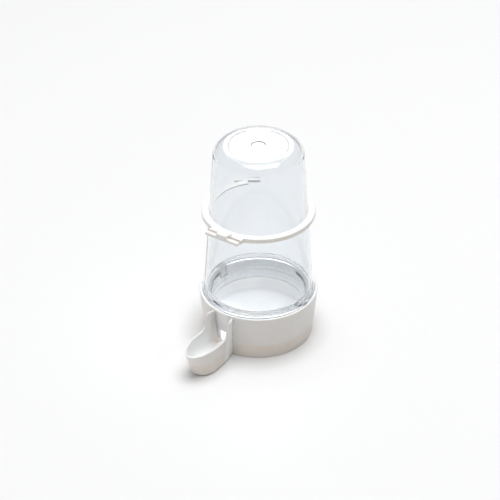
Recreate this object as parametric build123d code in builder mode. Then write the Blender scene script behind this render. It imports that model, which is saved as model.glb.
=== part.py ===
from build123d import *

import os
from math import asin, cos, degrees, radians, sin, tan

# Siphon drinker for poultry and cage birds: reservoir, drinking base and hanger ring.
# Millimetres, +Z up. The origin is the centre of the foot that the drinker stands on,
# on the reservoir's axis, and the drinking spout points along -Y.

cut_margin = 1.0             # cutting forms run past the faces they cut by this much

# ---- drinking base ----
rim_radius = 40.0            # outside of the rim
rim_height = 33.4            # top of the rim above the table
rim_bore_radius = 38.5       # the reservoir's flange sits inside this bore
seat_height = 32.6           # ledge that carries the flange
seat_bore_radius = 37.6      # inside of the ledge
floor_height = 6.0           # wet side of the floor
floor_thickness = 1.8
floor_corner_radius = 3.0
floor_bore_radius = 35.5     # inside of the wall where it meets the floor
foot_step_height = 11.6      # the foot band is set in below this height
foot_step_radius = 38.0
foot_step_inset = 0.5
foot_radius = 36.4
foot_wall = 1.6
edge_radius = 0.5            # small moulded roundings
small_edge_radius = 0.3

# ---- drinking spout, part of the base ----
spout_wall = 1.5
spout_foot_half_width = 8.7  # at the widest place, on the table
spout_flare = 0.07           # the sides lean out by this much per millimetre of height
spout_widest = 59.0          # distance of the widest place from the axis, on the table
spout_widest_drift = -0.15   # and how it moves with height
spout_foot_tip = 69.2        # distance of the nose from the axis, on the table
spout_nose_slope = 0.40      # the nose leans out by this much per millimetre of height
spout_flank_radius = 90.0    # plan curve of the sides, on the table
spout_flank_tightening = -1.5  # and how it changes with height
spout_top_height = 32.2      # where the cheeks meet the cup
spout_root = 30.0            # hidden end of the spout, inside the cup
spout_cheek_end = 44.5       # the cheeks start to drop here
spout_lip_start = 47.6       # and end here in the nearly level lip
spout_lip_height = 20.9
spout_lip_drop_per_mm = 0.055
spout_lowest_lip = 18.0
spout_cheek_roundness = (1.5, 5.0)  # top and bottom of the cheeks' drop, seen from the side
spout_foot_roundness = 2.0
spout_cut_reach = 100.0      # the form that trims the cheeks: its end, top and half width
spout_cut_height = 50.0
spout_cut_half_width = 20.0
water_gate_height = 17.6     # top of the opening between cup and spout
water_gate_root_half_width = 3.0  # its half width at the spout's root
water_gate_end_half_width = 5.6   # and just outside the rim

# ---- key channels, one each side of the cup, a little behind its middle ----
key_angles = (5.6, 174.4)    # degrees round from the X axis
channel_width = 8.0
channel_bottom = 16.0
channel_wall = 1.3

# ---- reservoir ----
reservoir_radius = 36.75     # outside of the cone at the flange
reservoir_height = 144.1
reservoir_draft = 3.92       # degrees
reservoir_wall = 2.0
reservoir_roof = 2.0
shoulder_radius = 7.3
flange_radius = 38.2
flange_top = 34.9
neck_radius = 33.2
neck_bore_radius = 31.4
mouth_height = 19.0
bead_heights = (23.4, 27.0)  # two grip beads round the neck
bead_radius = 0.5
funnel_top = 38.0            # the water space narrows into the neck between these heights
funnel_bottom = 31.0
funnel_roundness = 4.0
key_width = 7.2
key_reach = 37.5             # how far out the two keys stand
key_bottom = 26.0
roof_panel_radius = 20.0     # sunk panel in the roof
roof_panel_depth = 0.3
gate_dimple_radius = 4.9
gate_dimple_depth = 0.4

# ---- hanger ring ----
ring_bottom = 92.4
ring_height = 3.3
ring_radius = 37.6
ring_skirt_radius = 36.1     # inside of the skirt that hangs from the ring's outer edge
ring_web_height = 1.2        # flat top web, whose inner edge rides on the reservoir
ring_clearance = 0.3
ring_half_angle = 133.6      # each arm of the C ends this far round from the hook
ring_turn = 2.8              # the ring rests turned a little from the spout, in degrees
pad_face = 38.4              # flat face that lies against the cage wires
pad_half_length = 12.6
pad_root = 34.9              # hidden ends of the pad and the hook's stem, under the web
wire_gap = 1.9
hook_bar_depth = 2.6
hook_bar_half_length = 12.8
hook_bar_height = 2.4        # the bar's top is flush with the ring's
hook_stem_width = 8.0
hook_stem_rise = 2.1         # the stem stands above the ring
hook_stem_crest = 1.6        # and then slopes down to it
grip_length = 18.8           # finger bar across one end of the C
grip_thickness = 2.2
grip_height = 2.2
grip_turn = 35.1             # direction of the bar, degrees from the X axis
grip_offset = 37.5           # distance of the bar's centre line from the axis
grip_shift = -7.5            # and of its middle along that line


def spout_tip(height):
    """Distance of the spout's nose from the axis at a height above the table."""
    return spout_foot_tip + spout_nose_slope * height


def spout_section(height, inset):
    """Plan of the spout at a height, set in from its face: bowed sides and a half-elliptical nose."""
    half_width = spout_foot_half_width + spout_flare * height - inset
    widest = spout_widest + spout_widest_drift * height
    flank_radius = spout_flank_radius + spout_flank_tightening * height
    flank_length = widest - spout_root
    root_half_width = half_width - flank_radius + (flank_radius**2 - flank_length**2) ** 0.5
    with BuildSketch(Plane.XY.offset(height)) as section:
        with BuildLine():
            TangentArc((-half_width, -widest), (-root_half_width, -spout_root), tangent=(0, 1))
            nose = spout_tip(height) - inset - widest
            EllipticalCenterArc((0, -widest), half_width, nose, start_angle=180, arc_size=180)
            TangentArc((half_width, -widest), (root_half_width, -spout_root), tangent=(0, 1))
            Line((root_half_width, -spout_root), (-root_half_width, -spout_root))
        make_face()
    return section.sketch


# ------------------------------------------------------------------ drinking base
with BuildPart() as drinking_base:
    # spout: outer form, rounded along the table
    loft(sections=[spout_section(height, 0) for height in (0, spout_top_height)])
    foot_edges = drinking_base.edges().group_by(Axis.Z)[0]
    foot_edges = foot_edges.filter_by_position(Axis.Y, -spout_tip(rim_height), -spout_root - cut_margin)
    fillet(foot_edges, spout_foot_roundness)

    # spout: hollow channel
    loft(
        sections=[spout_section(height, spout_wall) for height in (floor_height, rim_height)],
        mode=Mode.SUBTRACT,
    )

    # spout: cheeks fall away to the nearly level lip
    lip_end_height = spout_lip_height + (spout_lip_start - spout_cut_reach) * spout_lip_drop_per_mm
    with BuildSketch(Plane.YZ):
        with BuildLine():
            FilletPolyline(
                (-spout_root, spout_top_height),
                (-spout_cheek_end, spout_top_height),
                (-spout_lip_start, spout_lip_height),
                (-spout_cut_reach, lip_end_height),
                radius=spout_cheek_roundness,
            )
            Polyline(
                (-spout_cut_reach, lip_end_height),
                (-spout_cut_reach, spout_cut_height),
                (-spout_root, spout_cut_height),
                (-spout_root, spout_top_height),
            )
        make_face()
    extrude(amount=spout_cut_half_width, both=True, mode=Mode.SUBTRACT)
    lip_edges = drinking_base.edges()
    lip_edges = lip_edges.filter_by_position(Axis.Y, -spout_tip(rim_height), -spout_root - cut_margin)
    lip_edges = lip_edges.filter_by_position(Axis.Z, spout_lowest_lip, rim_height)
    fillet(lip_edges.filter_by(lambda edge: edge.length > spout_wall + edge_radius), edge_radius)

    # cup: foot band, wall and rim as one turned form
    with BuildSketch(Plane.XZ):
        with BuildLine():
            Polyline(
                (0, 0),
                (foot_radius, 0),
                (foot_step_radius - foot_step_inset, foot_step_height - foot_step_inset),
                (foot_step_radius, foot_step_height),
                (rim_radius, rim_height),
                (0, rim_height),
                (0, 0),
            )
        make_face()
    revolve(axis=Axis.Z)

    # cup: bore, seat for the flange and rounded floor corner
    with BuildSketch(Plane.XZ):
        with BuildLine():
            FilletPolyline(
                (0, floor_height),
                (floor_bore_radius, floor_height),
                (seat_bore_radius, seat_height),
                radius=floor_corner_radius,
            )
            Polyline(
                (seat_bore_radius, seat_height),
                (rim_bore_radius, seat_height),
                (rim_bore_radius, rim_height + cut_margin),
                (0, rim_height + cut_margin),
                (0, floor_height),
            )
        make_face()
    revolve(axis=Axis.Z, mode=Mode.SUBTRACT)
    fillet(drinking_base.edges().group_by(Axis.Z)[-1], edge_radius)

    # water gate: opening from the cup into the spout, widening with the spout's channel
    with BuildSketch(Plane.XY.offset(floor_height)):
        with BuildLine():
            Polyline(
                (-water_gate_root_half_width, -spout_root),
                (-water_gate_end_half_width, -rim_radius - cut_margin),
                (water_gate_end_half_width, -rim_radius - cut_margin),
                (water_gate_root_half_width, -spout_root),
                (-water_gate_root_half_width, -spout_root),
            )
        make_face()
    extrude(amount=water_gate_height - floor_height, mode=Mode.SUBTRACT)

    # key channels: let the reservoir's keys down the wall, one each side
    channel_angle = 2 * degrees(asin(channel_width / 2 / rim_bore_radius))
    outer_slope = (rim_radius - foot_step_radius) / (rim_height - foot_step_height)
    channel_top_radius = rim_radius - channel_wall
    channel_foot_radius = channel_top_radius - outer_slope * (rim_height - channel_bottom)
    for angle in key_angles:
        with BuildSketch(Plane.XZ.rotated((0, 0, angle - channel_angle / 2))):
            with BuildLine():
                Polyline(
                    (spout_root, channel_bottom),
                    (channel_foot_radius, channel_bottom),
                    (channel_top_radius, rim_height),
                    (spout_root, rim_height),
                    (spout_root, channel_bottom),
                )
            make_face()
        revolve(axis=Axis.Z, revolution_arc=channel_angle, mode=Mode.SUBTRACT)

    # underside: hollow behind the foot band and under the spout
    underside_height = floor_height - floor_thickness
    with BuildSketch(Plane.XY):
        Circle(foot_radius - foot_wall)
        add(spout_section(0, foot_wall))
    extrude(amount=underside_height, mode=Mode.SUBTRACT)
drinking_base.part.label = "drinking_base"


# ---------------------------------------------------------------------- reservoir
def cone_radius(height, inset=0.0):
    """Radius of the reservoir's wall at a height, measured from the axis."""
    return reservoir_radius - inset - (height - flange_top) * tan(radians(reservoir_draft))


with BuildPart() as reservoir:
    # outside: mouth, neck, flange, cone, rounded shoulder and roof
    with BuildSketch(Plane.XZ):
        with BuildLine():
            Polyline(
                (0, mouth_height),
                (neck_radius, mouth_height),
                (neck_radius, seat_height),
                (flange_radius, seat_height),
                (flange_radius, flange_top),
                (cone_radius(flange_top), flange_top),
            )
            FilletPolyline(
                (cone_radius(flange_top), flange_top),
                (cone_radius(reservoir_height), reservoir_height),
                (0, reservoir_height),
                radius=shoulder_radius,
            )
            Line((0, reservoir_height), (0, mouth_height))
        make_face()
    revolve(axis=Axis.Z)

    # roof: sunk panel and the moulding gate's dimple
    with BuildSketch(Plane.XY.offset(reservoir_height)):
        Circle(roof_panel_radius)
    extrude(amount=-roof_panel_depth, mode=Mode.SUBTRACT)
    with BuildSketch(Plane.XY.offset(reservoir_height)):
        Circle(gate_dimple_radius)
    extrude(amount=-roof_panel_depth - gate_dimple_depth, mode=Mode.SUBTRACT)

    # two grip beads round the neck
    for height in bead_heights:
        with BuildSketch(Plane.XZ):
            with Locations((neck_radius, height)):
                Circle(bead_radius)
        revolve(axis=Axis.Z)

    # two keys under the flange
    with BuildSketch(Plane.XY.offset(key_bottom)):
        for angle in key_angles:
            with Locations(Location((0, 0), angle)):
                Rectangle(key_reach, key_width, align=(Align.MIN, Align.CENTER))
    extrude(amount=seat_height - key_bottom)

    # inside: neck bore and conical water space
    inner_roof = reservoir_height - roof_panel_depth - reservoir_roof
    with BuildSketch(Plane.XZ):
        with BuildLine():
            Line((0, mouth_height), (neck_bore_radius, mouth_height))
            FilletPolyline(
                (neck_bore_radius, mouth_height),
                (neck_bore_radius, funnel_bottom),
                (cone_radius(funnel_top, reservoir_wall), funnel_top),
                (cone_radius(inner_roof, reservoir_wall), inner_roof),
                (0, inner_roof),
                radius=(funnel_roundness, funnel_roundness, shoulder_radius - reservoir_wall),
            )
            Line((0, inner_roof), (0, mouth_height))
        make_face()
    revolve(axis=Axis.Z, mode=Mode.SUBTRACT)
reservoir.part.label = "reservoir"

# -------------------------------------------------------------------- hanger ring
ring_top = ring_bottom + ring_height
web_bottom = ring_top - ring_web_height
web_radius = cone_radius(web_bottom) + ring_clearance
with BuildPart() as hanger_ring:
    # C-shaped band: flat web on top, skirt hanging from its outer edge
    with BuildSketch(Plane.XZ.rotated((0, 0, -90 - ring_half_angle))):
        with BuildLine():
            Polyline(
                (ring_skirt_radius, ring_bottom),
                (ring_radius, ring_bottom),
                (ring_radius, ring_top),
                (web_radius, ring_top),
                (web_radius, web_bottom),
                (ring_skirt_radius, web_bottom),
                (ring_skirt_radius, ring_bottom),
            )
        make_face()
    revolve(axis=Axis.Z, revolution_arc=2 * ring_half_angle)

    # flat pad at the front, hook stem and hook bar; the bar leaves a gap for the cage wires
    bar_outer = pad_face + wire_gap + hook_bar_depth
    with BuildSketch(Plane.XY.offset(ring_bottom)):
        with Locations((0, -pad_face)):
            Rectangle(2 * pad_half_length, pad_face - pad_root, align=(Align.CENTER, Align.MIN))
    extrude(amount=ring_height)
    with BuildSketch(Plane.YZ):
        with BuildLine():
            Polyline(
                (-bar_outer, ring_top - hook_bar_height),
                (-bar_outer, ring_top + hook_stem_rise),
                (hook_stem_crest - bar_outer, ring_top + hook_stem_rise),
                (-pad_root, ring_top),
                (-pad_root, ring_top - hook_bar_height),
                (-bar_outer, ring_top - hook_bar_height),
            )
        make_face()
    extrude(amount=hook_stem_width / 2, both=True)
    with BuildSketch(Plane.XY.offset(ring_top - hook_bar_height)):
        with Locations((0, -bar_outer)):
            Rectangle(2 * hook_bar_half_length, hook_bar_depth, align=(Align.CENTER, Align.MIN))
    extrude(amount=hook_bar_height)

    # finger bar across the left end of the C, for springing the ring open
    grip_x = grip_shift * cos(radians(grip_turn)) - grip_offset * sin(radians(grip_turn))
    grip_y = grip_shift * sin(radians(grip_turn)) + grip_offset * cos(radians(grip_turn))
    with BuildSketch(Plane.XY.offset(ring_top)):
        with Locations(Location((grip_x, grip_y), grip_turn)):
            Rectangle(grip_length, grip_thickness)
    extrude(amount=-grip_height)

    # slightly rounded upright edges
    fillet(hanger_ring.edges().filter_by(Axis.Z), small_edge_radius)
resting_ring = hanger_ring.part.rotate(Axis.Z, ring_turn)
resting_ring.label = "hanger_ring"

os.makedirs("parts", exist_ok=True)
for piece in (drinking_base.part, reservoir.part, resting_ring):
    export_step(piece, f"parts/{piece.label}.step")
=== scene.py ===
from math import asin, cos, pi, radians, sin, tan

import bmesh
import bpy
from mathutils import Matrix, Vector


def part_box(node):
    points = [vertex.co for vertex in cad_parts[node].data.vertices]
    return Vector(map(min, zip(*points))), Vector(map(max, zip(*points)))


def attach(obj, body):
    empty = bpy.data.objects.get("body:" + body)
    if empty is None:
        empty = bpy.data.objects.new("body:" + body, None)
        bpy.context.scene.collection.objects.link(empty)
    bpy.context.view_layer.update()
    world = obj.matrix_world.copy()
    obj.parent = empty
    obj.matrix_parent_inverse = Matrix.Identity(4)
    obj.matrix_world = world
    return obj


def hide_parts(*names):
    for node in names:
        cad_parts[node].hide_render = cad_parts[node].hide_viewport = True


# Siphon drinker: clear reservoir, white drinking base with a spout, and white hanger ring.
# Metres, +Z up, the spout points along -Y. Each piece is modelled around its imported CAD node.
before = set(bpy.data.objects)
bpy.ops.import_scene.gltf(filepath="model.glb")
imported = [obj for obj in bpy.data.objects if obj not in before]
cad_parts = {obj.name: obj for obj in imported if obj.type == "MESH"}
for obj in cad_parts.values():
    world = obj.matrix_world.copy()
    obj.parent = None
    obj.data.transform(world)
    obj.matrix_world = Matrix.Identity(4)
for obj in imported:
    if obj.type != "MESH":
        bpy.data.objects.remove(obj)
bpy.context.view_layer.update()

MM = 0.001
base_low, base_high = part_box("drinking_base")
tank_low, tank_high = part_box("reservoir")
ring_low, ring_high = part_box("hanger_ring")

# ---- drinking base ----
RIM_RADIUS = base_high.y
RIM_HEIGHT = base_high.z
RIM_BORE_RADIUS = RIM_RADIUS - 1.5 * MM
RIM_ROUNDING = 0.5 * MM
SEAT_HEIGHT = RIM_HEIGHT - 0.8 * MM
SEAT_RADIUS = RIM_RADIUS - 2.4 * MM
FLOOR_HEIGHT = 6.0 * MM
FLOOR_RADIUS = 35.5 * MM
FLOOR_CORNER = 3.0 * MM
FLOOR_THICKNESS = 1.8 * MM
UNDERSIDE_HEIGHT = FLOOR_HEIGHT - FLOOR_THICKNESS
FOOT_RADIUS = 36.4 * MM
FOOT_WALL = 1.6 * MM
FOOT_ROUNDING = 0.4 * MM
STEP_HEIGHT = 11.6 * MM
STEP_RADIUS = 38.0 * MM
STEP_INSET = 0.5 * MM
STEP_ROUNDING = 0.3 * MM
CHANNEL_ANGLES = (radians(5.6), radians(174.4))
CHANNEL_WIDTH = 8.0 * MM
CHANNEL_BOTTOM = 16.0 * MM
CHANNEL_WALL = 1.3 * MM

# ---- spout ----
SPOUT_WALL = 1.5 * MM
SPOUT_HALF_WIDTH = 8.7 * MM       # at the widest place, on the table
SPOUT_FLARE = 0.07                # the sides lean out by this much of their height
SPOUT_WIDEST = 59.0 * MM          # distance of the widest place from the axis
SPOUT_WIDEST_DRIFT = -0.15        # and how it moves with height
SPOUT_TIP = 69.2 * MM
SPOUT_NOSE_SLOPE = 0.40
SPOUT_FLANK_RADIUS = 90.0 * MM    # plan curve of the sides
SPOUT_FLANK_TIGHTENING = -1.5     # and how it changes with height
SPOUT_ROOT = 30.0 * MM
SPOUT_FOOT_ROUNDING = 2.0 * MM
SPOUT_LIP_ROUNDING = 0.6 * MM
SPOUT_FLOOR_CORNER = 4.0 * MM
SPOUT_CORNER_SHARE = 0.8          # of the floor's half width, at most
SPOUT_FLANK_STATIONS = 96
SPOUT_NOSE_STATIONS = 56
LIP_OUTLINE = (                   # distance from the axis, height, rounding
    (SPOUT_ROOT, 32.2 * MM, 0.0),
    (44.5 * MM, 32.2 * MM, 1.5 * MM),
    (47.6 * MM, 20.9 * MM, 5.0 * MM),
    (90.0 * MM, 18.57 * MM, 0.0),
)
SPOUT_MIDDLE = 45.0 * MM          # between the cup's wall and the nose
GATE_HEIGHT = 17.6 * MM
GATE_WIDTHS = ((SPOUT_ROOT, 3.0 * MM), (41.0 * MM, 5.75 * MM))  # half widths at two distances

# ---- reservoir ----
TANK_HEIGHT = tank_high.z
TANK_MOUTH = tank_low.z
TANK_DRAFT = radians(3.92)
TANK_WALL = 2.0 * MM
TANK_ROOF = 2.0 * MM
TANK_SHOULDER = 7.3 * MM
FLANGE_RADIUS = tank_high.x
FLANGE_TOP = 34.9 * MM
FLANGE_ROUNDING = 0.7 * MM
CONE_FOOT_RADIUS = FLANGE_RADIUS - 1.45 * MM
CONE_FOOT_FILLET = 0.4 * MM
NECK_RADIUS = 33.2 * MM
NECK_BORE_RADIUS = 31.4 * MM
NECK_FILLET = 0.3 * MM
MOUTH_ROUNDING = 0.7 * MM
FUNNEL_TOP = 38.0 * MM            # the bore narrows smoothly into the neck between these heights
FUNNEL_BOTTOM = 31.0 * MM
FUNNEL_ROUNDING = 4.0 * MM
BEAD_HEIGHTS = (23.4 * MM, 27.0 * MM)
BEAD_RADIUS = 0.5 * MM
BEAD_ROUNDING = 0.45 * MM
KEY_WIDTH = 7.2 * MM
KEY_REACH = 37.5 * MM
KEY_BOTTOM = 26.0 * MM
KEY_ROUNDING = 0.5 * MM
KEY_OVERLAP = 1.0 * MM            # the keys run this far into the neck and the flange
PANEL_RADIUS = 20.0 * MM
PANEL_DEPTH = 0.25 * MM
PANEL_SLOPE = 0.9 * MM
PANEL_ROUNDING = 1.0 * MM
DIMPLE_RADIUS = 4.9 * MM
DIMPLE_DEPTH = 0.35 * MM
DIMPLE_SLOPE = 0.3 * MM
DIMPLE_ROUNDING = 0.2 * MM

# ---- hanger ring ----
RING_BOTTOM = ring_low.z
RING_TOP = RING_BOTTOM + 3.3 * MM
RING_RADIUS = ring_high.x
RING_SKIRT_RADIUS = RING_RADIUS - 1.5 * MM
RING_WEB_HEIGHT = 1.2 * MM
RING_CLEARANCE = 0.3 * MM
RING_HALF_ANGLE = radians(133.6)
RING_ROUNDING = 0.55 * MM
RING_WEB_ROUNDING = 0.4 * MM
RING_INNER_ROUNDING = 0.3 * MM
RING_END_ROUNDING = 0.3 * MM
RING_END_ANGLE = radians(60.0)    # only edges sharper than this are rounded at the ends
RING_TURN = radians(2.8)          # the ring rests turned a little from the spout
PAD_FACE = 38.4 * MM
PAD_HALF_LENGTH = 12.6 * MM
PAD_ROOT = 34.9 * MM              # hidden ends of the pad and the hook's stem
HOOK_ROUNDING = 0.5 * MM
WIRE_GAP = 1.9 * MM
BAR_DEPTH = 2.6 * MM
BAR_REACH = PAD_FACE + WIRE_GAP + BAR_DEPTH
BAR_HALF_LENGTH = 12.8 * MM
BAR_HEIGHT = 2.4 * MM
STEM_TOP = ring_high.z
STEM_HALF_WIDTH = 4.0 * MM
STEM_CREST = 1.6 * MM             # flat length on top, before the stem slopes down to the ring
STEM_ROUNDING = 0.35 * MM
GRIP_LENGTH = 18.8 * MM
GRIP_THICKNESS = 2.2 * MM
GRIP_TURN = radians(35.1)
GRIP_OFFSET = 37.5 * MM
GRIP_SHIFT = -7.5 * MM
GRIP_ROUNDING = 0.6 * MM

# ---- material grain, in cells per metre, and the depth of its relief ----
CLOUD_SCALE = 55.0
PATCH_SCALE = 140.0
SPECK_SCALE = 900.0
POLISH_SCALE = 230.0
FLOW_SCALE = 110.0
FLOW_DEPTH = 0.05 * MM
GRAIN_SCALE = 2600.0
GRAIN_DEPTH = 0.006 * MM
HAZE_SCALE = 70.0
WAVE_SCALE = 90.0
WAVE_DEPTH = 0.05 * MM
WAVE_STRETCH = (1.0, 1.0, 0.25)   # the moulding waves run up the reservoir
PAPER_SCALE = 300.0
PAPER_SHADE = 0.992
CLEAR_IOR = 1.4
CLEAR_TINTS = ((0.90, 0.92, 0.937, 1.0), (0.915, 0.932, 0.946, 1.0))
CLEAR_SHADOW = (0.985, 0.988, 0.99, 1.0)  # share of lamp light that a wall lets through
SCATTER_DEPTH = 2.0 * MM          # how far light spreads inside the white plastic

# ---- marks of use, painted shade and painted bounce light ----
STAIN_TURN = radians(68.0)        # the water stain is this far round from the spout
STAIN_HEIGHT = 7.0 * MM
STAIN_CORE = 0.5 * MM
STAIN_REACH = 3.2 * MM
STAIN_STRENGTH = 0.55
FOOT_BAND_FADE = 1.5 * MM             # the foot band's upper edge softens over this height
FLOOR_SHADE_COLOUR = (0.64, 0.645, 0.655, 1.0)  # painted shade on the well's floor, darker towards the back where its walls shade it
FLOOR_SHADE_CORE = 0.5 * MM              # full up to this height above the floor
FLOOR_SHADE_FADE = 2.5 * MM              # and gone at this one
FLOOR_SHADE_BACK = 8.0 * MM              # the painted shade is full behind this, and gone at the spout's root
# the outside is painted darker than the inside as painted shade; these set where that starts and where it
# is full
SIDE_FACING = (1.0 * MM, 4.0 * MM)  # a face's distance from the axis along its normal: inner, outer
MASK_FADE = 1.0 * MM

# ---- camera and studio ----
VIEW_TURN = radians(37.0)         # the camera stands this far round from the spout
VIEW_PITCH = radians(33.95)
VIEW_DISTANCE = 1.0942            # level distance from the drinker's axis
VIEW_HEIGHT = 0.7991
VIEW_LENS = 142.4
VIEW_SHIFT = -0.017
SOFTBOX_SIZE = 1.8
SOFTBOX_DISTANCE = 2.45
SOFTBOX_ELEVATION = radians(84.0)
SOFTBOX_SIDE = radians(60.0)      # turned from straight behind towards the camera's right
SOFTBOX_POWER = 56.0
CARD_SIZE = 0.50                  # white card behind, mirrored in the flat roof
CARD_DISTANCE = 3.0
CARD_POWER = 3.2
FLOOR_SIZE = 12.0
FLOOR_COLOUR = (0.86, 0.86, 0.86, 1.0)
ROOM_LEFT_COLOUR = (0.58, 0.585, 0.595, 1.0)  # what lights the drinker from the camera's left
ROOM_RIGHT_COLOUR = (0.10, 0.102, 0.105, 1.0)
ROOM_SEEN_COLOUR = (0.58, 0.585, 0.595, 1.0)  # the room in reflections and through clear walls

# ---- mesh detail ----
ARC_STEPS = 6
LIP_STEPS = 4
LIP_ROUNDS = 8                    # the lip's height and its reach settle on each other in these
LIP_SAMPLE = 0.3 * MM             # distance over which the lip's slope is taken
TURN_STEPS = 192
RING_STEPS = 160
MERGE = 1e-7                      # points nearer than this are one
EDGE_STEPS = 3
EDGE_CREASE = radians(32.0)       # sharper edges than this keep a crease
CUT_MARGIN = 1.0 * MM             # cutting forms run past the faces they cut
SLIVER = 0.02 * MM                # keeps two faces from lying in one plane


# ------------------------------------------------------------------ mesh building
def rounded(corners, steps=ARC_STEPS):
    """Outline through (x, y, rounding) corners, each replaced by an arc of its rounding."""
    points = [Vector(corner[:2]) for corner in corners]
    outline = []
    for index, (x, y, radius) in enumerate(corners):
        if radius == 0.0:
            outline.append(points[index])
            continue
        to_last = (points[index - 1] - points[index]).normalized()
        to_next = (points[(index + 1) % len(points)] - points[index]).normalized()
        half_turn = to_last.angle(to_next) / 2
        centre = points[index] + (to_last + to_next).normalized() * (radius / sin(half_turn))
        start = points[index] + to_last * (radius / tan(half_turn)) - centre
        end = points[index] + to_next * (radius / tan(half_turn)) - centre
        for step in range(steps + 1):
            outline.append(centre + start.slerp(end, step / steps).normalized() * radius)
    return outline


def new_piece(name, mesh_builder):
    """Mesh object made from a bmesh, with its doubled points merged and normals outward."""
    bmesh.ops.remove_doubles(mesh_builder, verts=mesh_builder.verts, dist=MERGE)
    bmesh.ops.dissolve_degenerate(mesh_builder, edges=mesh_builder.edges, dist=MERGE)
    bmesh.ops.recalc_face_normals(mesh_builder, faces=mesh_builder.faces)
    mesh = bpy.data.meshes.new(name)
    mesh_builder.to_mesh(mesh)
    mesh_builder.free()
    piece = bpy.data.objects.new(name, mesh)
    bpy.context.scene.collection.objects.link(piece)
    return piece


def turned(name, outline, start=0.0, sweep=2 * pi, steps=TURN_STEPS):
    """Solid turned about Z from a closed outline of (radius, height) points."""
    builder = bmesh.new()
    whole = sweep >= 2 * pi
    rows = []
    for step in range(steps if whole else steps + 1):
        angle = start + sweep * step / steps
        row = [builder.verts.new((p.x * cos(angle), p.x * sin(angle), p.y)) for p in outline]
        rows.append(row)
    for index in range(len(rows) if whole else len(rows) - 1):
        row = rows[index]
        next_row = rows[(index + 1) % len(rows)]
        for corner in range(len(outline)):
            after = (corner + 1) % len(outline)
            if outline[corner].x == 0.0 and outline[after].x == 0.0:
                continue
            builder.faces.new((row[corner], row[after], next_row[after], next_row[corner]))
    if not whole:
        builder.faces.new(rows[0])
        builder.faces.new(rows[-1])
    return new_piece(name, builder)


def round_edges(builder, rounding):
    """Rounds every edge of a form that is still being built."""
    bmesh.ops.bevel(
        builder, geom=builder.edges, offset=rounding, segments=EDGE_STEPS, profile=0.5, affect="EDGES"
    )


def block(name, low, high, rounding, turn=0.0):
    """Box between two corners with all its edges rounded, turned about Z."""
    builder = bmesh.new()
    bmesh.ops.create_cube(builder, size=1.0)
    low, high = Vector(low), Vector(high)
    for vert in builder.verts:
        vert.co = Vector(a + (b - a) * (c + 0.5) for a, b, c in zip(low, high, vert.co))
    round_edges(builder, rounding)
    bmesh.ops.transform(builder, matrix=Matrix.Rotation(turn, 4, "Z"), verts=builder.verts)
    return new_piece(name, builder)


def bridged(first_end, last_end):
    """Closed form between two ends that have the same number of points."""
    builder = bmesh.new()
    first = [builder.verts.new(point) for point in first_end]
    last = [builder.verts.new(point) for point in last_end]
    builder.faces.new(first)
    builder.faces.new(last)
    for index in range(len(first)):
        after = (index + 1) % len(first)
        builder.faces.new((first[index], first[after], last[after], last[index]))
    return builder


def extruded(name, outline, half_width, rounding):
    """Solid along X from a closed outline of (y, z) points, with all its edges rounded."""
    near = [(half_width, y, z) for y, z in outline]
    far = [(-half_width, y, z) for y, z in outline]
    builder = bridged(near, far)
    bmesh.ops.recalc_face_normals(builder, faces=builder.faces)
    round_edges(builder, rounding)
    return new_piece(name, builder)


def combine(piece, tool, operation):
    """Joins a tool to a piece or cuts it away, and uses the tool up."""
    modifier = piece.modifiers.new("combine", "BOOLEAN")
    modifier.operation = operation
    modifier.solver = "EXACT"
    modifier.object = tool
    depsgraph = bpy.context.evaluated_depsgraph_get()
    mesh = bpy.data.meshes.new_from_object(piece.evaluated_get(depsgraph))
    piece.modifiers.clear()
    piece.data = mesh
    bpy.data.objects.remove(tool)


def finish_surface(piece):
    """Smooth shading that keeps the creases, with normals led by the large faces."""
    for polygon in piece.data.polygons:
        polygon.use_smooth = True
    piece.data.set_sharp_from_angle(angle=EDGE_CREASE)
    weighted = piece.modifiers.new("even_normals", "WEIGHTED_NORMAL")
    weighted.keep_sharp = True


# ------------------------------------------------------------------ drinking base
def interpolate(outline, x):
    """Height of a left-to-right outline at x."""
    for left, right in zip(outline, outline[1:]):
        if x <= right.x:
            share = (x - left.x) / max(right.x - left.x, MERGE)
            return left.y + (right.y - left.y) * max(share, 0.0)
    return outline[-1].y


def flank_setback(reach, height):
    """How far the bowed side of the spout lies inside its widest place."""
    radius = SPOUT_FLANK_RADIUS + SPOUT_FLANK_TIGHTENING * height
    widest = SPOUT_WIDEST + SPOUT_WIDEST_DRIFT * height
    return radius - (radius**2 - (widest - reach) ** 2) ** 0.5


def spout_point(station, height, inset):
    """Point on the spout's wall: stations run -1 to 1 from one root round the nose to the other."""
    half_width = SPOUT_HALF_WIDTH + SPOUT_FLARE * height - inset
    widest = SPOUT_WIDEST + SPOUT_WIDEST_DRIFT * height
    side = -1.0 if station < 0 else 1.0
    if abs(station) >= 0.5:
        reach = SPOUT_ROOT + (widest - SPOUT_ROOT) * 2 * (1 - abs(station))
        return Vector((side * (half_width - flank_setback(reach, height)), -reach, height))
    turn = station * pi
    nose = SPOUT_TIP + SPOUT_NOSE_SLOPE * height - inset - widest
    return Vector((half_width * sin(turn), -widest - nose * cos(turn), height))


def lip_section(lip, stretch):
    """(inset, height) points over the lip's rounded edge, from the outer side to the wet one."""
    section = []
    for step in range(2 * LIP_STEPS + 2):
        outer = step <= LIP_STEPS
        turn = pi / 2 * (step if outer else 2 * LIP_STEPS + 1 - step) / LIP_STEPS
        inset = SPOUT_LIP_ROUNDING * (1 - cos(turn))
        drop = SPOUT_LIP_ROUNDING * stretch * (1 - sin(turn))
        section.append(Vector((inset if outer else SPOUT_WALL - inset, lip - drop)))
    return section


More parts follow.
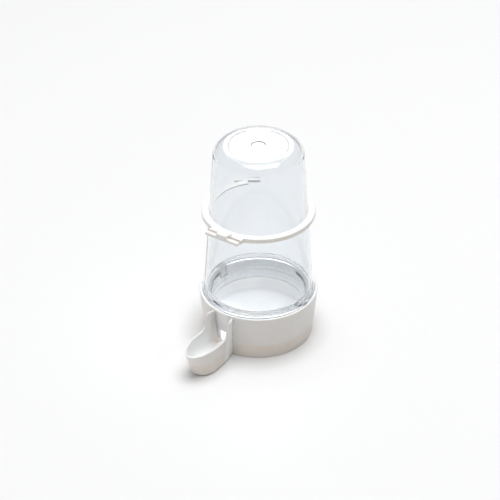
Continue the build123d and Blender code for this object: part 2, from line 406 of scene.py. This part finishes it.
def spout_section(station, lip_outline):
    """(inset, height) points of the wall's section, from under the floor to its wet side."""
    lip = LIP_OUTLINE[-1][1]
    for _ in range(LIP_ROUNDS):
        reach = -spout_point(station, lip, SPOUT_WALL / 2).y
        lip = interpolate(lip_outline, reach)
    fall = interpolate(lip_outline, reach - LIP_SAMPLE) - interpolate(lip_outline, reach + LIP_SAMPLE)
    stretch = (1 + (fall / LIP_SAMPLE / 2) ** 2) ** 0.5
    middle = abs(spout_point(station, FLOOR_HEIGHT, 0.0).x)
    if abs(station) < 0.5:
        middle = SPOUT_HALF_WIDTH + SPOUT_FLARE * FLOOR_HEIGHT
    foot_edge = SPOUT_FOOT_ROUNDING - (SPOUT_FOOT_ROUNDING**2 - FOOT_ROUNDING**2) ** 0.5
    corners = (
        (middle, UNDERSIDE_HEIGHT, 0.0),
        (FOOT_WALL, UNDERSIDE_HEIGHT, FOOT_ROUNDING),
        (FOOT_WALL, foot_edge, 0.0),
    )
    section = rounded(corners, 2)
    for step in range(1, ARC_STEPS + 1):
        turn = pi / 2 * step / ARC_STEPS
        inset = SPOUT_FOOT_ROUNDING * (1 - sin(turn))
        if inset < FOOT_WALL:
            section.append(Vector((inset, SPOUT_FOOT_ROUNDING * (1 - cos(turn)))))
    lip_side = lip - SPOUT_LIP_ROUNDING * stretch
    for share in (0.25, 0.5, 0.75):
        section.append(Vector((0.0, SPOUT_FOOT_ROUNDING + (lip_side - SPOUT_FOOT_ROUNDING) * share)))
    section += lip_section(lip, stretch)
    corners = (
        (SPOUT_WALL, lip_side, 0.0),
        (SPOUT_WALL, FLOOR_HEIGHT, min(SPOUT_FLOOR_CORNER, SPOUT_CORNER_SHARE * (middle - SPOUT_WALL))),
        (middle, FLOOR_HEIGHT, 0.0),
    )
    return section + rounded(corners, 8)[1:]


def spout_trough():
    """Solid wall and floor of the spout, its root reaching into the cup."""
    lip_outline = rounded(LIP_OUTLINE, 10)
    flank = [-1 + 0.5 * step / SPOUT_FLANK_STATIONS for step in range(SPOUT_FLANK_STATIONS)]
    nose = [step / SPOUT_NOSE_STATIONS - 0.5 for step in range(SPOUT_NOSE_STATIONS + 1)]
    stations = flank + nose + [-station for station in reversed(flank)]
    builder = bmesh.new()
    rows = []
    for station in stations:
        section = spout_section(station, lip_outline)
        rows.append([builder.verts.new(spout_point(station, p.y, p.x)) for p in section])
    for row, next_row in zip(rows, rows[1:]):
        for corner in range(len(row) - 1):
            builder.faces.new((row[corner], row[corner + 1], next_row[corner + 1], next_row[corner]))
    bmesh.ops.remove_doubles(builder, verts=builder.verts, dist=MERGE)
    bmesh.ops.dissolve_degenerate(builder, edges=builder.edges, dist=MERGE)
    open_edges = [edge for edge in builder.edges if edge.is_boundary]
    bmesh.ops.contextual_create(builder, geom=open_edges)
    return new_piece("drinking_base_white", builder)


def prism(name, widths, low, high):
    """Upright cutting form on the spout's middle line, from its half widths at two distances."""
    (inner_reach, inner), (outer_reach, outer) = widths
    outline = ((-inner, -inner_reach), (inner, -inner_reach), (outer, -outer_reach), (-outer, -outer_reach))
    bottom = [(x, y, low) for x, y in outline]
    top = [(x, y, high) for x, y in outline]
    return new_piece(name, bridged(bottom, top))


def drinking_base():
    """White base: turned cup with a boat-shaped spout, water gate and two key channels."""
    cup_corners = (
        (0.0, 0.0, 0.0),
        (FOOT_RADIUS, 0.0, FOOT_ROUNDING),
        (STEP_RADIUS - STEP_INSET, STEP_HEIGHT - STEP_INSET, 0.0),
        (STEP_RADIUS, STEP_HEIGHT, STEP_ROUNDING),
        (RIM_RADIUS, RIM_HEIGHT, RIM_ROUNDING),
        (0.0, RIM_HEIGHT, 0.0),
    )
    bore_corners = (
        (0.0, FLOOR_HEIGHT, 0.0),
        (FLOOR_RADIUS, FLOOR_HEIGHT, FLOOR_CORNER),
        (SEAT_RADIUS, SEAT_HEIGHT, 0.0),
        (RIM_BORE_RADIUS, SEAT_HEIGHT, 0.0),
        (RIM_BORE_RADIUS, RIM_HEIGHT - RIM_ROUNDING, 0.0),
        (RIM_BORE_RADIUS + RIM_ROUNDING + CUT_MARGIN, RIM_HEIGHT + CUT_MARGIN, 0.0),
        (0.0, RIM_HEIGHT + CUT_MARGIN, 0.0),
    )
    underside_corners = (
        (0.0, -CUT_MARGIN, 0.0),
        (FOOT_RADIUS - FOOT_WALL, -CUT_MARGIN, 0.0),
        (FOOT_RADIUS - FOOT_WALL, UNDERSIDE_HEIGHT, FOOT_ROUNDING),
        (0.0, UNDERSIDE_HEIGHT, 0.0),
    )
    base = spout_trough()
    combine(base, turned("cup", rounded(cup_corners)), "UNION")
    combine(base, turned("bore", rounded(bore_corners)), "DIFFERENCE")
    combine(base, turned("underside", rounded(underside_corners, 3)), "DIFFERENCE")
    hollow_widths = []
    for reach in (SPOUT_ROOT, FOOT_RADIUS + CUT_MARGIN):
        hollow_widths.append((reach, SPOUT_HALF_WIDTH - FOOT_WALL - flank_setback(reach, 0.0)))
    hollow = prism("hollow", hollow_widths, -CUT_MARGIN, UNDERSIDE_HEIGHT - SLIVER)
    combine(base, hollow, "DIFFERENCE")
    combine(base, prism("gate", GATE_WIDTHS, FLOOR_HEIGHT + SLIVER, GATE_HEIGHT), "DIFFERENCE")
    slope = (RIM_RADIUS - STEP_RADIUS) / (RIM_HEIGHT - STEP_HEIGHT)
    channel_foot = RIM_RADIUS - CHANNEL_WALL - slope * (RIM_HEIGHT - CHANNEL_BOTTOM)
    channel_corners = (
        (SPOUT_ROOT, CHANNEL_BOTTOM, 0.0),
        (channel_foot, CHANNEL_BOTTOM, 0.0),
        (RIM_RADIUS - CHANNEL_WALL, RIM_HEIGHT - SLIVER, 0.0),
        (RIM_RADIUS - CHANNEL_WALL, RIM_HEIGHT + CUT_MARGIN, 0.0),
        (SPOUT_ROOT, RIM_HEIGHT + CUT_MARGIN, 0.0),
    )
    width = 2 * asin(CHANNEL_WIDTH / 2 / RIM_BORE_RADIUS)
    for angle in CHANNEL_ANGLES:
        channel = turned("channel", rounded(channel_corners), angle - width / 2, width, 8)
        combine(base, channel, "DIFFERENCE")
    return base


# ------------------------------------------------------------------ reservoir
def cone_radius(height, inset=0.0):
    """Radius of the reservoir's wall at a height."""
    return CONE_FOOT_RADIUS - inset - (height - FLANGE_TOP) * tan(TANK_DRAFT)


def neck_outline():
    """Outer outline of the neck from the mouth up, with its two grip beads."""
    corners = [(NECK_RADIUS, TANK_MOUTH, MOUTH_ROUNDING)]
    for height in BEAD_HEIGHTS:
        corners += [
            (NECK_RADIUS, height - BEAD_RADIUS, 0.0),
            (NECK_RADIUS + BEAD_RADIUS, height - BEAD_RADIUS, BEAD_ROUNDING),
            (NECK_RADIUS + BEAD_RADIUS, height + BEAD_RADIUS, BEAD_ROUNDING),
            (NECK_RADIUS, height + BEAD_RADIUS, 0.0),
        ]
    return corners


def reservoir():
    """Clear tank: thick walls, sunk roof panel with the moulding gate's mark, flange and neck."""
    panel = TANK_HEIGHT - PANEL_DEPTH
    inner_roof = panel - TANK_ROOF
    dimple = panel - DIMPLE_DEPTH
    corners = neck_outline() + [
        (NECK_RADIUS, SEAT_HEIGHT, NECK_FILLET),
        (FLANGE_RADIUS, SEAT_HEIGHT, FLANGE_ROUNDING),
        (FLANGE_RADIUS, FLANGE_TOP, FLANGE_ROUNDING),
        (CONE_FOOT_RADIUS, FLANGE_TOP, CONE_FOOT_FILLET),
        (cone_radius(TANK_HEIGHT), TANK_HEIGHT, TANK_SHOULDER),
        (PANEL_RADIUS, TANK_HEIGHT, PANEL_ROUNDING),
        (PANEL_RADIUS - PANEL_SLOPE, panel, PANEL_ROUNDING),
        (DIMPLE_RADIUS, panel, DIMPLE_ROUNDING),
        (DIMPLE_RADIUS - DIMPLE_SLOPE, dimple, DIMPLE_ROUNDING),
        (0.0, dimple, 0.0),
        (0.0, inner_roof, 0.0),
        (cone_radius(inner_roof, TANK_WALL), inner_roof, TANK_SHOULDER - TANK_WALL),
        (cone_radius(FUNNEL_TOP, TANK_WALL), FUNNEL_TOP, FUNNEL_ROUNDING),
        (NECK_BORE_RADIUS, FUNNEL_BOTTOM, FUNNEL_ROUNDING),
        (NECK_BORE_RADIUS, TANK_MOUTH, MOUTH_ROUNDING),
    ]
    tank = turned("reservoir_clear", rounded(corners, 8))
    for angle in CHANNEL_ANGLES:
        key = block(
            "key",
            (NECK_RADIUS - KEY_OVERLAP, -KEY_WIDTH / 2, KEY_BOTTOM),
            (KEY_REACH, KEY_WIDTH / 2, SEAT_HEIGHT + KEY_OVERLAP),
            KEY_ROUNDING,
            angle,
        )
        combine(tank, key, "UNION")
    return tank


# ------------------------------------------------------------------ hanger ring
def hanger_ring():
    """C-shaped ring: flat web with a hanging skirt, a T-hook at the front, a finger bar at one end."""
    start = -pi / 2 - RING_HALF_ANGLE
    sweep = 2 * RING_HALF_ANGLE
    web_bottom = RING_TOP - RING_WEB_HEIGHT
    web_radius = cone_radius(web_bottom) + RING_CLEARANCE
    band_corners = (
        (RING_SKIRT_RADIUS, RING_BOTTOM, RING_INNER_ROUNDING),
        (RING_RADIUS, RING_BOTTOM, RING_ROUNDING),
        (RING_RADIUS, RING_TOP, RING_ROUNDING),
        (web_radius, RING_TOP, RING_WEB_ROUNDING),
        (web_radius, web_bottom, RING_INNER_ROUNDING),
        (RING_SKIRT_RADIUS, web_bottom, RING_INNER_ROUNDING),
    )
    ring = turned("hanger_ring_white", rounded(band_corners, 4), start, sweep, RING_STEPS)
    bevel = ring.modifiers.new("ends", "BEVEL")
    bevel.width = RING_END_ROUNDING
    bevel.segments = 2
    bevel.limit_method = "ANGLE"
    bevel.angle_limit = RING_END_ANGLE
    pad = block(
        "pad",
        (-PAD_HALF_LENGTH, -PAD_FACE, RING_BOTTOM + SLIVER),
        (PAD_HALF_LENGTH, -PAD_ROOT, RING_TOP - SLIVER),
        HOOK_ROUNDING,
    )
    bar_bottom = RING_TOP - BAR_HEIGHT
    stem_outline = (
        (-BAR_REACH, bar_bottom + SLIVER),
        (-BAR_REACH, STEM_TOP),
        (STEM_CREST - BAR_REACH, STEM_TOP),
        (-PAD_ROOT, RING_TOP + SLIVER),
        (-PAD_ROOT, bar_bottom + SLIVER),
    )
    stem = extruded("stem", stem_outline, STEM_HALF_WIDTH, STEM_ROUNDING)
    bar = block(
        "bar",
        (-BAR_HALF_LENGTH, -BAR_REACH + SLIVER, bar_bottom),
        (BAR_HALF_LENGTH, BAR_DEPTH - BAR_REACH, RING_TOP),
        HOOK_ROUNDING,
    )
    grip = block(
        "grip",
        (GRIP_SHIFT - GRIP_LENGTH / 2, GRIP_OFFSET - GRIP_THICKNESS / 2, RING_TOP - GRIP_THICKNESS),
        (GRIP_SHIFT + GRIP_LENGTH / 2, GRIP_OFFSET + GRIP_THICKNESS / 2, RING_TOP + SLIVER),
        GRIP_ROUNDING,
        GRIP_TURN,
    )
    for tool in (pad, stem, bar, grip):
        combine(ring, tool, "UNION")
    ring.data.transform(Matrix.Rotation(RING_TURN, 4, "Z"))
    return ring


# ------------------------------------------------------------------ materials
def new_material(name):
    """Empty node material: its node tree and its surface shader."""
    material = bpy.data.materials.new(name)
    material.use_nodes = True
    return material, material.node_tree, material.node_tree.nodes["Principled BSDF"]


def noise(tree, coordinates, scale, detail=3.0, roughness=0.55):
    """Noise of a scale, in cells per metre of the object."""
    node = tree.nodes.new("ShaderNodeTexNoise")
    node.inputs["Scale"].default_value = scale
    node.inputs["Detail"].default_value = detail
    node.inputs["Roughness"].default_value = roughness
    tree.links.new(coordinates, node.inputs["Vector"])
    return node.outputs["Fac"]


def remap(tree, value, low, high, to_low, to_high):
    """Value moved from one range to another, and held inside it."""
    node = tree.nodes.new("ShaderNodeMapRange")
    for socket, number in (("From Min", low), ("From Max", high), ("To Min", to_low), ("To Max", to_high)):
        node.inputs[socket].default_value = number
    tree.links.new(value, node.inputs["Value"])
    return node.outputs["Result"]


def calculate(tree, operation, *values):
    """Result of a Math node on one or two values."""
    node = tree.nodes.new("ShaderNodeMath")
    node.operation = operation
    for value, socket in zip(values, node.inputs):
        tree.links.new(value, socket)
    return node.outputs["Value"]


def vector_node(tree, operation, vector, constant=None):
    """Vector Math node on a vector, with its second input free or a constant."""
    node = tree.nodes.new("ShaderNodeVectorMath")
    node.operation = operation
    tree.links.new(vector, node.inputs[0])
    if constant is not None:
        node.inputs[1].default_value = constant
    return node


def blend_colour(tree, share, first, second):
    """Colour between two others; either may be a colour or another node's output."""
    node = tree.nodes.new("ShaderNodeMix")
    node.data_type = "RGBA"
    tree.links.new(share, node.inputs["Factor"])
    for socket, colour in (("A", first), ("B", second)):
        target = next(s for s in node.inputs if s.name == socket and s.type == "RGBA")
        if isinstance(colour, tuple):
            target.default_value = colour
        else:
            tree.links.new(colour, target)
    return next(s for s in node.outputs if s.type == "RGBA")


def bump(tree, height, distance, under=None):
    """Bump of a real height in metres, on top of another bump or not."""
    node = tree.nodes.new("ShaderNodeBump")
    node.inputs["Strength"].default_value = 1.0
    node.inputs["Distance"].default_value = distance
    tree.links.new(height, node.inputs["Height"])
    if under is not None:
        tree.links.new(under, node.inputs["Normal"])
    return node.outputs["Normal"]


def object_place(tree):
    """Place on the piece, in metres and in the frame's own axes."""
    return tree.nodes.new("ShaderNodeTexCoord").outputs["Object"]


def split_axes(tree, place):
    """X, Y and Z of a place; Z is the height above the table."""
    split = tree.nodes.new("ShaderNodeSeparateXYZ")
    tree.links.new(place, split.inputs["Vector"])
    return split.outputs


def worn_edges(tree):
    """Share of edge polish: 1 on outward edges, 0 on flat faces."""
    geometry = tree.nodes.new("ShaderNodeNewGeometry")
    return remap(tree, geometry.outputs["Pointiness"], 0.52, 0.60, 0.0, 1.0)


def outer_shade_share(tree, place, axes):
    """Share of painted shade on the outside: 1 on faces turned away from the axis, 0 inside the cup and the
    spout, which are painted lighter.
    """
    normal = tree.nodes.new("ShaderNodeTexCoord").outputs["Normal"]
    level = vector_node(tree, "MULTIPLY", place, (1.0, 1.0, 0.0))
    outward = vector_node(tree, "DOT_PRODUCT", level.outputs["Vector"])
    tree.links.new(normal, outward.inputs[1])
    turned_out = remap(tree, outward.outputs["Value"], *SIDE_FACING, 0.0, 1.0)
    across = calculate(tree, "ABSOLUTE", axes["X"])
    beside = remap(tree, across, GATE_WIDTHS[0][1], GATE_WIDTHS[1][1], 0.0, 1.0)
    before = remap(tree, axes["Y"], -SPOUT_MIDDLE - MASK_FADE, -SPOUT_MIDDLE, 1.0, 0.0)
    behind = remap(tree, axes["Y"], -SPOUT_ROOT - MASK_FADE, -SPOUT_ROOT, 0.0, 1.0)
    clear = calculate(tree, "MAXIMUM", beside, before)
    return calculate(tree, "MULTIPLY", turned_out, calculate(tree, "MAXIMUM", clear, behind))


def floor_shade(tree, axes):
    """Share of painted shade: on the well's floor, fading out towards the spout."""
    full, gone = FLOOR_HEIGHT + FLOOR_SHADE_CORE, FLOOR_HEIGHT + FLOOR_SHADE_FADE
    near_floor = remap(tree, axes["Z"], full, gone, 1.0, 0.0)
    backward = remap(tree, axes["Y"], -SPOUT_ROOT, FLOOR_SHADE_BACK, 0.0, 1.0)
    return calculate(tree, "MULTIPLY", near_floor, backward)


def foot_band(tree, place, axes, top):
    """Share of a patchy band from the table up to a height: grime and painted warm bounce light off the
    table.
    """
    low = remap(tree, axes["Z"], top - FOOT_BAND_FADE, top, 1.0, 0.0)
    patches = remap(tree, noise(tree, place, PATCH_SCALE, 5.0), 0.42, 0.72, 0.3, 0.6)
    return calculate(tree, "MULTIPLY", low, patches)


def white_plastic(name, light, shade, lit_inside, worn, grime_and_bounce, band_top=None, stain=None):
    """Moulded white plastic: painted lighter inside and painted shade outside, faint clouding, fine
    speckle, worn edges, a foot band of grime and painted warm bounce light.
    """
    material, tree, shader = new_material(name)
    place = object_place(tree)
    axes = split_axes(tree, place)
    cloud = remap(tree, noise(tree, place, CLOUD_SCALE, 4.0), 0.35, 0.65, 0.0, 1.0)
    # painted shade: outer faces take the darker colours, the inside of the cup and spout a lighter
    # painted-lit colour
    outer_shade = outer_shade_share(tree, place, axes)
    # painted shade darkens the well's floor towards the back
    inside_colour = blend_colour(tree, floor_shade(tree, axes), lit_inside, FLOOR_SHADE_COLOUR)
    colour = blend_colour(tree, outer_shade, inside_colour, blend_colour(tree, cloud, light, shade))
    colour = blend_colour(tree, worn_edges(tree), colour, worn)
    if band_top is not None:
        # the foot band is partly grime and partly painted warm light bounced off the table
        band = calculate(tree, "MULTIPLY", foot_band(tree, place, axes, band_top), outer_shade)
        colour = blend_colour(tree, band, colour, grime_and_bounce)
    if stain is not None:
        away = vector_node(tree, "DISTANCE", place, stain).outputs["Value"]
        spot = remap(tree, away, STAIN_CORE, STAIN_REACH, STAIN_STRENGTH, 0.0)
        colour = blend_colour(tree, spot, colour, grime_and_bounce)
    speck = remap(tree, noise(tree, place, SPECK_SCALE, 2.0), 0.70, 0.80, 0.0, 0.35)
    colour = blend_colour(tree, speck, colour, grime_and_bounce)
    tree.links.new(colour, shader.inputs["Base Color"])
    polish = remap(tree, noise(tree, place, POLISH_SCALE, 4.0), 0.3, 0.7, 0.27, 0.42)
    tree.links.new(polish, shader.inputs["Roughness"])
    flow = bump(tree, noise(tree, place, FLOW_SCALE, 2.0), FLOW_DEPTH)
    grain = bump(tree, noise(tree, place, GRAIN_SCALE, 2.0), GRAIN_DEPTH, flow)
    tree.links.new(grain, shader.inputs["Normal"])
    shader.inputs["IOR"].default_value = 1.5
    shader.inputs["Subsurface Weight"].default_value = 0.3
    shader.inputs["Subsurface Radius"].default_value = (1.0, 0.9, 0.75)
    shader.inputs["Subsurface Scale"].default_value = SCATTER_DEPTH
    return material


def clear_plastic(name):
    """Clear polystyrene: a cool tint, slight moulding waves, and lamps shine through its walls."""
    material, tree, shader = new_material(name)
    place = object_place(tree)
    haze = remap(tree, noise(tree, place, HAZE_SCALE, 4.0), 0.3, 0.7, 0.0, 1.0)
    colour = blend_colour(tree, haze, *CLEAR_TINTS)
    tree.links.new(colour, shader.inputs["Base Color"])
    stretch = tree.nodes.new("ShaderNodeMapping")
    stretch.inputs["Scale"].default_value = WAVE_STRETCH
    tree.links.new(place, stretch.inputs["Vector"])
    waves = bump(tree, noise(tree, stretch.outputs["Vector"], WAVE_SCALE, 1.5), WAVE_DEPTH)
    tree.links.new(waves, shader.inputs["Normal"])
    shader.inputs["Roughness"].default_value = 0.025
    shader.inputs["IOR"].default_value = CLEAR_IOR
    shader.inputs["Transmission Weight"].default_value = 1.0
    see_through = tree.nodes.new("ShaderNodeBsdfTransparent")
    see_through.inputs["Color"].default_value = CLEAR_SHADOW
    path = tree.nodes.new("ShaderNodeLightPath")
    mix = tree.nodes.new("ShaderNodeMixShader")
    tree.links.new(path.outputs["Is Shadow Ray"], mix.inputs["Fac"])
    tree.links.new(shader.outputs["BSDF"], mix.inputs[1])
    tree.links.new(see_through.outputs["BSDF"], mix.inputs[2])
    tree.links.new(mix.outputs["Shader"], tree.nodes["Material Output"].inputs["Surface"])
    return material


def floor_material():
    """Plain pale paper sweep with a faint grain."""
    material, tree, shader = new_material("floor_paper")
    place = object_place(tree)
    grain = remap(tree, noise(tree, place, PAPER_SCALE, 3.0), 0.3, 0.7, 0.0, 1.0)
    shaded = tuple(channel * PAPER_SHADE for channel in FLOOR_COLOUR[:3]) + (1.0,)
    colour = blend_colour(tree, grain, FLOOR_COLOUR, shaded)
    tree.links.new(colour, shader.inputs["Base Color"])
    shader.inputs["Roughness"].default_value = 0.85
    shader.inputs["Specular IOR Level"].default_value = 0.2
    return material


# ------------------------------------------------------------------ camera and studio
def make_camera():
    """Camera looking down at the drinker from beside its spout."""
    lens = bpy.data.cameras.new("camera")
    lens.lens = VIEW_LENS
    lens.shift_x = VIEW_SHIFT
    lens.clip_start = 0.05
    camera = bpy.data.objects.new("camera", lens)
    camera.location = (sin(VIEW_TURN) * VIEW_DISTANCE, -cos(VIEW_TURN) * VIEW_DISTANCE, VIEW_HEIGHT)
    camera.rotation_euler = (pi / 2 - VIEW_PITCH, 0.0, VIEW_TURN)
    bpy.context.scene.collection.objects.link(camera)
    bpy.context.scene.camera = camera


def area_light(name, size, power, position, back):
    """Square light at a position, with its back turned to a direction."""
    lamp = bpy.data.lights.new(name, "AREA")
    lamp.size = size
    lamp.energy = power
    light = bpy.data.objects.new(name, lamp)
    light.location = position
    light.rotation_euler = back.to_track_quat("Z", "Y").to_euler()
    bpy.context.scene.collection.objects.link(light)
    return light


def make_lights():
    """One large softbox above the drinker, and a card that only shows in its flat roof."""
    heading = VIEW_TURN - SOFTBOX_SIDE
    away = Vector((-sin(heading), cos(heading), 0.0)) * cos(SOFTBOX_ELEVATION)
    away.z = sin(SOFTBOX_ELEVATION)
    area_light("softbox", SOFTBOX_SIZE, SOFTBOX_POWER, away * SOFTBOX_DISTANCE, away)
    roof = Vector((0.0, 0.0, TANK_HEIGHT))
    behind = Vector((-sin(VIEW_TURN) * VIEW_DISTANCE, cos(VIEW_TURN) * VIEW_DISTANCE, VIEW_HEIGHT))
    mirrored = (behind - roof).normalized()
    card = area_light("card", CARD_SIZE, CARD_POWER, roof + mirrored * CARD_DISTANCE, mirrored)
    card.visible_diffuse = False


def make_room():
    """Dim room, brighter to the camera's left, but even in reflections and through clear walls."""
    room = bpy.data.worlds.new("room")
    room.use_nodes = True
    tree = room.node_tree
    direction = tree.nodes.new("ShaderNodeTexCoord").outputs["Generated"]
    leftward = vector_node(tree, "DOT_PRODUCT", direction, (-cos(VIEW_TURN), -sin(VIEW_TURN), 0.0))
    left = remap(tree, leftward.outputs["Value"], -1.0, 1.0, 0.0, 1.0)
    path = tree.nodes.new("ShaderNodeLightPath")
    seen = calculate(tree, "MAXIMUM", path.outputs["Is Glossy Ray"], path.outputs["Is Transmission Ray"])
    lighting = blend_colour(tree, left, ROOM_RIGHT_COLOUR, ROOM_LEFT_COLOUR)
    colour = blend_colour(tree, seen, lighting, ROOM_SEEN_COLOUR)
    tree.links.new(colour, tree.nodes["Background"].inputs["Color"])
    bpy.context.scene.world = room


def make_studio():
    """Pale floor, lights and room."""
    bpy.ops.mesh.primitive_plane_add(size=FLOOR_SIZE)
    floor = bpy.context.object
    floor.name = "floor"
    floor.data.materials.append(floor_material())
    make_lights()
    make_room()
    bpy.context.scene.view_settings.view_transform = "Standard"


# ------------------------------------------------------------------ assembly
make_camera()
make_studio()

# the outer colours are painted shade, darker than the painted-lit inside colour
base_white = white_plastic(
    "white_polystyrene",
    light=(0.78, 0.758, 0.732, 1.0),
    shade=(0.755, 0.73, 0.70, 1.0),
    lit_inside=(0.90, 0.902, 0.902, 1.0),
    worn=(0.88, 0.87, 0.855, 1.0),
    grime_and_bounce=(0.76, 0.64, 0.52, 1.0),
    band_top=STEP_HEIGHT,
    stain=(FOOT_RADIUS * sin(STAIN_TURN), -FOOT_RADIUS * cos(STAIN_TURN), STAIN_HEIGHT),
)
ring_white = white_plastic(
    "white_polypropylene",
    light=(0.81, 0.78, 0.75, 1.0),
    shade=(0.79, 0.76, 0.725, 1.0),
    lit_inside=(0.82, 0.795, 0.77, 1.0),
    worn=(0.85, 0.83, 0.81, 1.0),
    grime_and_bounce=(0.70, 0.62, 0.50, 1.0),
)
for piece, node, body, slot, material in (
    (drinking_base(), "drinking_base", "base", "white_plastic", base_white),
    (reservoir(), "reservoir", "reservoir", "clear_plastic", clear_plastic("clear_polystyrene")),
    (hanger_ring(), "hanger_ring", "ring", "ring_plastic", ring_white),
):
    piece.data.materials.clear()
    piece.data.materials.append(material)
    finish_surface(piece)
    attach(piece, body)
    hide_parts(node)
